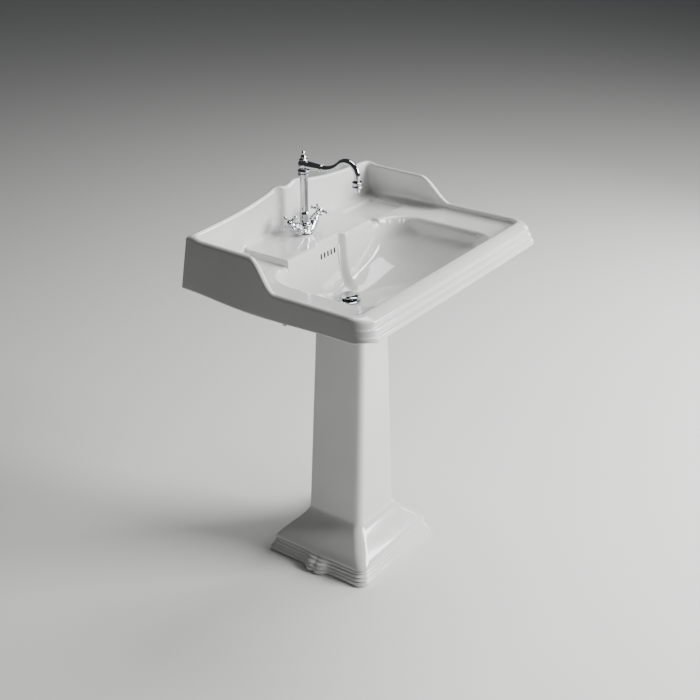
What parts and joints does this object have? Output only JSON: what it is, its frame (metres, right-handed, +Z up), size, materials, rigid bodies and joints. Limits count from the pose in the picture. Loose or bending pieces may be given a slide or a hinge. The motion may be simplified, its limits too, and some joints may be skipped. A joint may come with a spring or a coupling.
{
  "type": "pedestal sink",
  "caption": "Traditional ceramic washbasin with backsplash and wings on a square pedestal, with a swan-neck mixer tap, push-button waste and trap.",
  "frame": {"origin": "on the floor, under the middle of the basin's width and depth", "axes": "+Z up, +Y towards the wall, +X to the right of someone facing the basin"},
  "size_m": [0.73, 0.5, 1.0282],
  "materials": {
    "ceramic": "glossy white glaze over vitreous china",
    "chrome": "polished chrome plate",
    "brass": "machined brass",
    "rubber": "matte black rubber",
    "white_plastic": "moulded acetal",
    "grey_plastic": "moulded mesh insert",
    "steel": "drawn spring wire",
    "braid": "braided stainless steel sleeve"
  },
  "bodies": {
    "stand": {"basin": "ceramic", "backsplash": "ceramic", "left_wing": "ceramic", "right_wing": "ceramic", "pedestal": "ceramic", "seating_pads": "rubber", "tap_seal": "rubber", "tap_body": "chrome", "tap_clamp_rubber": "rubber", "tap_clamp_plate": "brass", "tap_stud": "brass", "tap_nut": "brass", "pillar": "chrome", "pillar_oring": "rubber", "hot_bonnet": "chrome", "cold_bonnet": "chrome", "waste_body": "chrome", "waste_top_seal": "rubber", "waste_bottom_seal": "rubber", "waste_nut": "chrome", "latch_cartridge": "white_plastic", "latch_spring": "steel", "trap_inlet": "chrome", "trap_top_washer": "rubber", "trap_top_nut": "chrome", "trap_body": "chrome", "trap_cup_seal": "rubber", "trap_cup": "chrome", "trap_outlet_washer": "rubber", "trap_outlet_nut": "chrome", "outlet_pipe": "chrome", "outlet_rosette": "chrome", "hot_hose": "braid", "cold_hose": "braid", "hose_nuts": "chrome", "hot_stop": "chrome", "cold_stop": "chrome", "stop_glands": "chrome", "stop_rosettes": "chrome"},
    "spout": {"spout": "chrome", "spout_nozzle": "chrome", "aerator": "grey_plastic", "finial": "chrome"},
    "hot_control": {"hot_spindle": "brass", "hot_handle": "chrome", "hot_cap": "chrome"},
    "cold_control": {"cold_spindle": "brass", "cold_handle": "chrome", "cold_cap": "chrome"},
    "plug": {"plug_cap": "chrome", "plug_ring": "rubber", "plug_stem": "chrome"},
    "hot_stop_knob": {"hot_stop_handle": "chrome"},
    "cold_stop_knob": {"cold_stop_handle": "chrome"}
  },
  "joints": [
    {"name": "spout_swivel", "type": "hinge", "parent": "stand", "child": "spout", "pos_m": [0, 0.188, 0.98], "axis": [0, 0, 1], "range_deg": [-90, 90]},
    {"name": "hot_turn", "type": "hinge", "parent": "stand", "child": "hot_control", "pos_m": [0, 0.188, 0.82], "axis": [-0.788, 0, 0.6157], "range_deg": [0, 90]},
    {"name": "cold_turn", "type": "hinge", "parent": "stand", "child": "cold_control", "pos_m": [0, 0.188, 0.82], "axis": [0.788, 0, 0.6157], "range_deg": [-90, 0]},
    {"name": "plug_press", "type": "slide", "parent": "stand", "child": "plug", "axis": [0, 0, 1], "range_m": [-0.007, 0], "stiffness_N_per_m": 400, "springref_m": 0.006, "deforming": ["latch_spring"]},
    {"name": "hot_stop_turn", "type": "hinge", "parent": "stand", "child": "hot_stop_knob", "pos_m": [-0.06, 0.17, 0.64], "axis": [0, -1, 0], "range_deg": [0, 90]},
    {"name": "cold_stop_turn", "type": "hinge", "parent": "stand", "child": "cold_stop_knob", "pos_m": [0.06, 0.17, 0.64], "axis": [0, -1, 0], "range_deg": [0, 90]}
  ]
}
